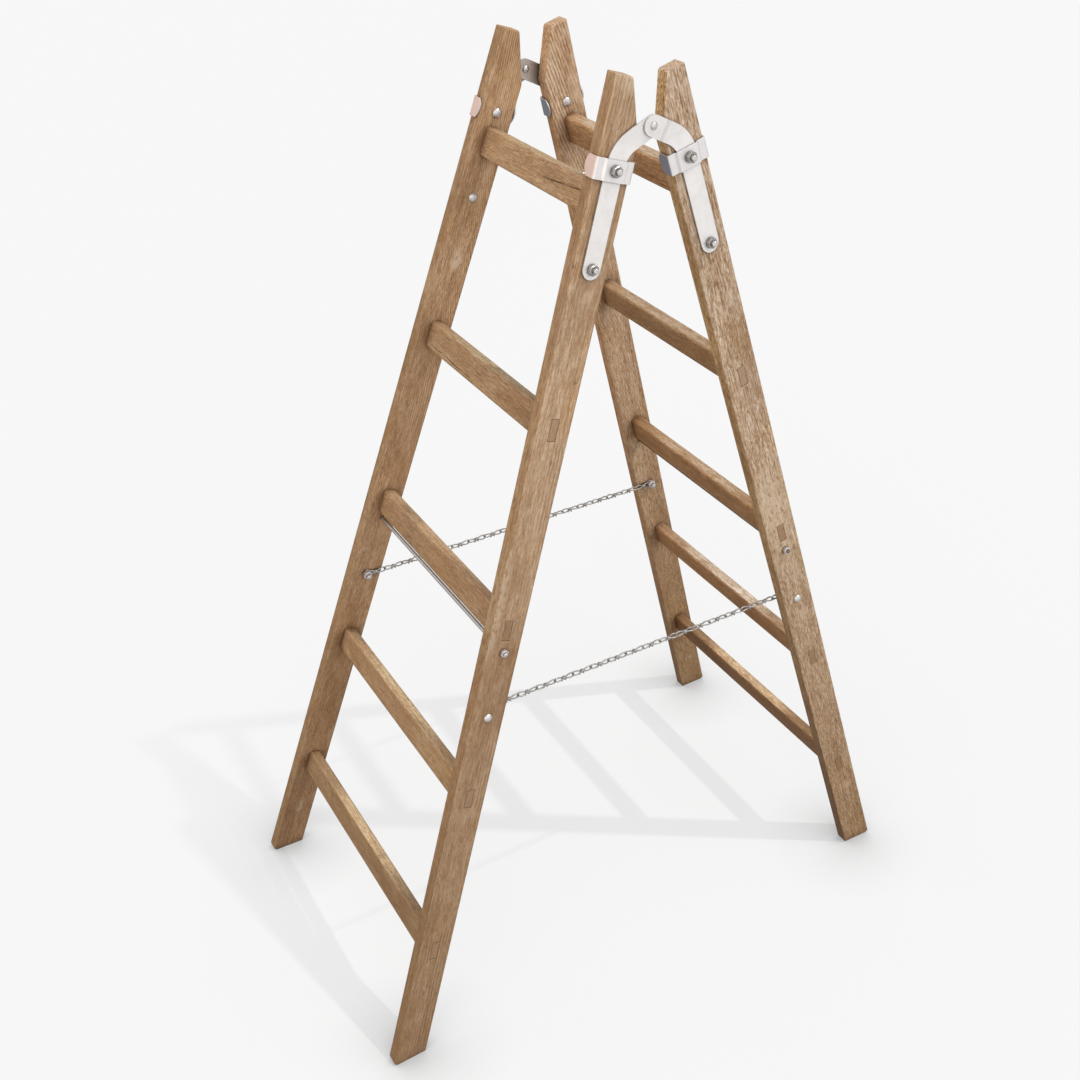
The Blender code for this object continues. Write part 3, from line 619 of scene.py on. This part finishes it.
def steel_for(name):
    if name.startswith("hinge_leaf"):
        return SHADED_LEAF if name.endswith("back") else LEAF
    if name.startswith("clamp_band"):
        return BANDS[name.split("_")[2]]
    if name.startswith(("tie_nut", "chain_nut")):
        return RAIL_NUT
    if "_nut_" in name:
        return NUT
    if name.startswith("chain_") and "bolt" not in name:
        return WIRE
    if name == "tie_rod_right":
        return SHADED_ROD
    return FASTENER


for name, node in NODES.items():
    if not name.startswith(("stile", "rung")):
        smooth(node, STEEL_SHARP)
        dress(node, steel_for(name))


# ---------------------------------------------------------------- chains
def tube(name, paths, radius):
    """Round wires along point paths, as one mesh; a path is (points, closed)."""
    curve = bpy.data.curves.new(name, "CURVE")
    curve.dimensions = "3D"
    curve.bevel_depth = radius
    curve.bevel_resolution = 2
    curve.use_fill_caps = True
    for points, closed in paths:
        spline = curve.splines.new("POLY")
        spline.points.add(len(points) - 1)
        spline.use_cyclic_u = closed
        for point, place in zip(spline.points, points):
            point.co = (*place, 1)
    guide = bpy.data.objects.new(name, curve)
    bpy.context.scene.collection.objects.link(guide)
    bpy.context.view_layer.update()
    mesh = bpy.data.meshes.new_from_object(guide.evaluated_get(bpy.context.evaluated_depsgraph_get()))
    bpy.data.objects.remove(guide, do_unlink=True)
    mesh.shade_smooth()
    piece = bpy.data.objects.new(name, mesh)
    bpy.context.scene.collection.objects.link(piece)
    return piece


def smooth_loop(points, steps=3):
    """Catmull-Rom points round a closed loop of the given ones."""
    count = len(points)
    pts = [Vector(p) for p in points]
    out = []
    for i in range(count):
        a, b, c, d = (pts[(i + k) % count] for k in (-1, 0, 1, 2))
        for k in range(steps):
            u = k / steps
            square = (2 * a - 5 * b + 4 * c - d) * u**2
            cube = (3 * b - a - 3 * c + d) * u**3
            out.append(tuple(0.5 * (2 * b + (c - a) * u + square + cube)))
    return out


WIRE_R = 0.00122
LINK_PITCH = 0.0320
# half the height of a link's loop at its fullest and near its end
LINK_HALF = 0.0039
END_HALF = 0.0027
# the knot in a link's middle: its length, its coil and the wire ends that stick out under it
KNOT = 0.0060
KNOT_SIDE = KNOT / 2.4
STRAND_GAP = 0.0012
COIL_R = 0.0021
COIL_LENGTH = 0.82 * KNOT
COIL_TURNS = 2.25
COIL_STEPS = 26
FIRST_TAIL = ((-0.0008, 0.0012, -0.0062), (-0.0003, 0.0006, -0.0040))
LAST_TAIL = ((0.0004, -0.0008, -0.0040), (0.0010, -0.0014, -0.0060))
# how far a link turns about the chain's line: all of them, and each by chance
TWIST = math.radians(-3)
SWAY = 0.12
# the eye that goes round the chain bolt, and how far beside the bolt's eye the links' line runs
EYE_R = 0.0059
EYE_ARC = (-150, -112, -75, -37, 0, 37, 75, 112, 150)
LINE_ASIDE = 0.0023


def eye_loop(pitch, line_y):
    """One side of the first link, as the ring round the bolt."""
    points = [(KNOT_SIDE, line_y, -STRAND_GAP)]
    for degrees in EYE_ARC:
        angle = math.radians(degrees)
        points.append((pitch / 2 + EYE_R * math.cos(angle), 0, EYE_R * math.sin(angle)))
    return points + [(KNOT_SIDE, line_y, STRAND_GAP)]


def link_loop(pitch, line_y, twist):
    """One side of a link, from its knot round its end and back."""
    reach = pitch / 2 + WIRE_R * 0.75
    rise = [(KNOT_SIDE, STRAND_GAP), (reach * 0.42, LINK_HALF * 0.80), (reach * 0.72, LINK_HALF),
            (reach * 0.93, END_HALF)]
    flat = [(x, -h) for x, h in rise] + [(reach, 0.0)] + [(x, h) for x, h in reversed(rise)]
    return [(x, line_y + h * math.sin(twist), h * math.cos(twist)) for x, h in flat]


def knot_coil(line_y, rng):
    """The wire wound round a link's middle, with its two cut ends."""
    coil = []
    for k in range(COIL_STEPS + 1):
        angle = -math.pi / 2 + 2 * math.pi * COIL_TURNS * k / COIL_STEPS + rng.uniform(-0.02, 0.02)
        x = COIL_LENGTH * (k / COIL_STEPS - 0.5)
        coil.append((x, line_y + COIL_R * math.cos(angle), COIL_R * math.sin(angle)))
    first = [(coil[0][0] + x, line_y + y, z) for x, y, z in FIRST_TAIL]
    last = [(coil[-1][0] + x, coil[-1][1] + y, z) for x, y, z in LAST_TAIL]
    return first + coil + last


def build_chain(half, end):
    """Knotted wire links from the eye on the chain bolt to the middle of the ladder."""
    node_name = f"chain_{half}_{end}"
    low, high = (Vector(corner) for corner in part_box(node_name))
    out = -1 if half == "left" else 1
    side = -1 if end == "front" else 1
    eye_x = (low.x if out < 0 else high.x) - out * (EYE_R + WIRE_R)
    eye_y = (low.y if side < 0 else high.y) - side * WIRE_R
    line_z = high.z - EYE_R - WIRE_R
    line_y = -side * LINE_ASIDE
    span = abs(eye_x)
    count = max(2, round(span / LINK_PITCH))
    pitch = span / count
    wires = []
    for i in range(count):
        knot = (i + 0.5) * pitch
        rng = random.Random(i + 20 * (half == "left") + 50 * (end == "front"))
        twist = TWIST + rng.uniform(-SWAY, SWAY)
        inward = link_loop(pitch, line_y, twist)
        outward = eye_loop(pitch, line_y) if i == 0 else link_loop(pitch, line_y, twist + math.pi / 2)
        link = smooth_loop(inward + [(-x, y, z) for x, y, z in outward])
        wires.append(([(knot + x, y, z) for x, y, z in link], True))
        wires.append(([(knot + x, y, z) for x, y, z in knot_coil(line_y, rng)], False))
    placed = []
    for points, closed in wires:
        placed.append(([(eye_x - out * x, eye_y + y, line_z + z) for x, y, z in points], closed))
    piece = tube(f"knotted_chain_{half}_{end}", placed, WIRE_R)
    dress(piece, WIRE)
    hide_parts(node_name)
    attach(piece, f"chain_run_{half}_{end}")


for half in HALVES:
    for end in ENDS:
        build_chain(half, end)


# ---------------------------------------------------------------- floor, light and camera
SUN_WAY = (0.355, -0.33, 0.875)
SUN_ENERGY = 1.0
SUN_SPREAD = math.radians(1.3)
SUN_COLOUR = (1.0, 0.99, 0.97)

# the floor as the camera sees it: how grey it is to the sun near the feet and further off, which sets how
# dark the shadow is there, and how far its own glow makes up for that
BACKDROP = 0.93
FLOOR_NEAR = 0.34
FLOOR_FAR = 0.11
FADE_START = 0.05
FADE_END = 0.52
FLOOR_LIT = 1.13
FLOOR_HALF = 40.0
FLOOR_Z = -0.0005
# the painted contact shadow under the feet: how far it reaches and how dark it gets
CONTACT_SHADOW_REACH = 0.15
CONTACT_SHADOW_DARK = 0.62
# the floor as it lights the wood, and as the steel mirrors it from front to back
FLOOR_PLAIN = (0.17, 0.145, 0.115)
MIRROR_FRONT = -1.2
MIRROR_BACK = 8.0
FLOOR_MIRROR = (
    (0.0, (0.95, 0.95, 0.95, 1)),
    (0.22, (0.26, 0.265, 0.29, 1)),
    (0.35, (0.24, 0.24, 0.26, 1)),
    (1.0, (0.86, 0.73, 0.69, 1)),
)

# the studio's soft light from each way; the left's is warmer from low down, below HORIZON_BLEND
HORIZON_BLEND = 0.55
LEFT_LOSS_BEHIND = 0.45
SKY_BASE = (0.14, 0.14, 0.14)
SKY_FRONT = (1.30, 1.33, 1.38)
SKY_LEFT = (1.13, 1.10, 1.07)
SKY_LEFT_LOW = (0.95, 0.81, 0.67)
SKY_BACK = (0.50, 0.49, 0.47)
SKY_RIGHT = (0.30, 0.31, 0.33)
SKY_UP = (0.12, 0.125, 0.13)

# the photograph's own camera, worked out from the ladder's lines
SENSOR_MM = 36.0
FOCAL_PIXELS = 1303.675
IMAGE_PIXELS = 1080.0
CAMERA_AT = (-0.9475, -1.4918, 1.8730)
CAMERA_TILT = math.radians(56.169)
CAMERA_TURN = math.radians(-30.5)


def build_floor():
    """A pale floor: white to the camera with the ladder's faint shadow, and seen by the steel as well."""
    bm = bmesh.new()
    bmesh.ops.create_grid(bm, x_segments=1, y_segments=1, size=FLOOR_HALF)
    mesh = bpy.data.meshes.new("floor")
    bm.to_mesh(mesh)
    bm.free()
    floor = bpy.data.objects.new("floor", mesh)
    floor.location = (0, 0, FLOOR_Z)
    bpy.context.scene.collection.objects.link(floor)
    t = Tree("floor")
    t.nodes.remove(t.bsdf)
    path = t.put("LightPath")
    x, y, _ = t.split(t.put("NewGeometry").outputs["Position"])

    # the shadow fades away from the feet, and a painted contact shadow darkens the floor where a foot
    # touches
    away = t.add(t.mul(x, -SUN_WAY[0]), t.mul(y, -SUN_WAY[1]))
    grey = t.span(away, FADE_START, FADE_END, FLOOR_NEAR, FLOOR_FAR)
    contact_shadow = t.span(t.open_air(CONTACT_SHADOW_REACH, samples=12), 0.55, 0.995, CONTACT_SHADOW_DARK, 1.0, smooth=False)
    seen = t.put("BsdfDiffuse")
    t.wire(t.mul(grey, contact_shadow), seen.inputs["Color"])
    glow = t.put("Emission")
    t.wire(t.mul(t.sub(BACKDROP, t.mul(grey, FLOOR_LIT)), contact_shadow), glow.inputs["Color"])
    to_camera = t.put("AddShader")
    t.wire(seen.outputs[0], to_camera.inputs[0])
    t.wire(glow.outputs[0], to_camera.inputs[1])

    plain = t.put("BsdfDiffuse")
    plain.inputs["Color"].default_value = (*FLOOR_PLAIN, 1)
    mirror = t.put("Emission")
    backwards = t.span(y, MIRROR_FRONT, MIRROR_BACK, smooth=False)
    t.wire(t.ramp(backwards, FLOOR_MIRROR), mirror.inputs["Color"])
    to_rest = t.choose(path.outputs["Is Glossy Ray"], plain.outputs[0], mirror.outputs[0])
    final = t.choose(path.outputs["Is Camera Ray"], to_rest, to_camera.outputs[0])
    t.wire(final, t.nodes["Material Output"].inputs["Surface"])
    dress(floor, t.mat)


def build_world():
    """Soft light, strongest from the front, then the left, weaker from behind, weakest from the right."""
    t = Tree("studio", world=True)
    bpy.context.scene.world = t.mat
    t.nodes.clear()
    x, y, z = t.split(t.put("TexCoord").outputs["Generated"])
    front = t.at_least(t.mul(y, -1.0), 0.0)
    back = t.at_least(y, 0.0)
    right = t.at_least(x, 0.0)
    up = t.at_least(z, 0.0)
    high = t.span(z, 0.0, HORIZON_BLEND)
    left = t.mul(t.at_least(t.mul(x, -1.0), 0.0), t.sub(1.0, t.mul(back, LEFT_LOSS_BEHIND)))
    left_low = t.mul(left, t.sub(1.0, high))
    left_high = t.mul(left, high)

    def plus(first, second):
        node = t.put("VectorMath", operation="ADD")
        t.wire(first, node.inputs[0])
        t.feed(node.inputs[1], second)
        return node.outputs[0]

    def coloured(amount, colour):
        node = t.put("VectorMath", operation="SCALE")
        node.inputs[0].default_value = colour
        t.wire(amount, node.inputs["Scale"])
        return node.outputs[0]

    total = coloured(front, SKY_FRONT)
    for amount, colour in ((left_high, SKY_LEFT), (left_low, SKY_LEFT_LOW), (right, SKY_RIGHT),
                           (back, SKY_BACK), (up, SKY_UP)):
        total = plus(total, coloured(amount, colour))
    soft = t.put("Background")
    t.wire(plus(total, SKY_BASE), soft.inputs["Color"])
    seen = t.put("Background")
    seen.inputs["Color"].default_value = (BACKDROP, BACKDROP, BACKDROP, 1)
    final = t.choose(t.put("LightPath").outputs["Is Camera Ray"], soft.outputs[0], seen.outputs[0])
    t.wire(final, t.put("OutputWorld").inputs["Surface"])


def build_sun():
    data = bpy.data.lights.new("sun", "SUN")
    data.energy = SUN_ENERGY
    data.angle = SUN_SPREAD
    data.color = SUN_COLOUR
    light = bpy.data.objects.new("sun", data)
    light.rotation_euler = Vector(SUN_WAY).to_track_quat("Z", "Y").to_euler()
    bpy.context.scene.collection.objects.link(light)


def build_camera():
    data = bpy.data.cameras.new("camera")
    data.sensor_width = SENSOR_MM
    data.lens = SENSOR_MM * FOCAL_PIXELS / IMAGE_PIXELS
    camera = bpy.data.objects.new("camera", data)
    camera.location = CAMERA_AT
    camera.rotation_euler = (CAMERA_TILT, 0.0, CAMERA_TURN)
    bpy.context.scene.collection.objects.link(camera)
    bpy.context.scene.camera = camera


build_floor()
build_world()
build_sun()
build_camera()
bpy.context.scene.view_settings.view_transform = "Standard"
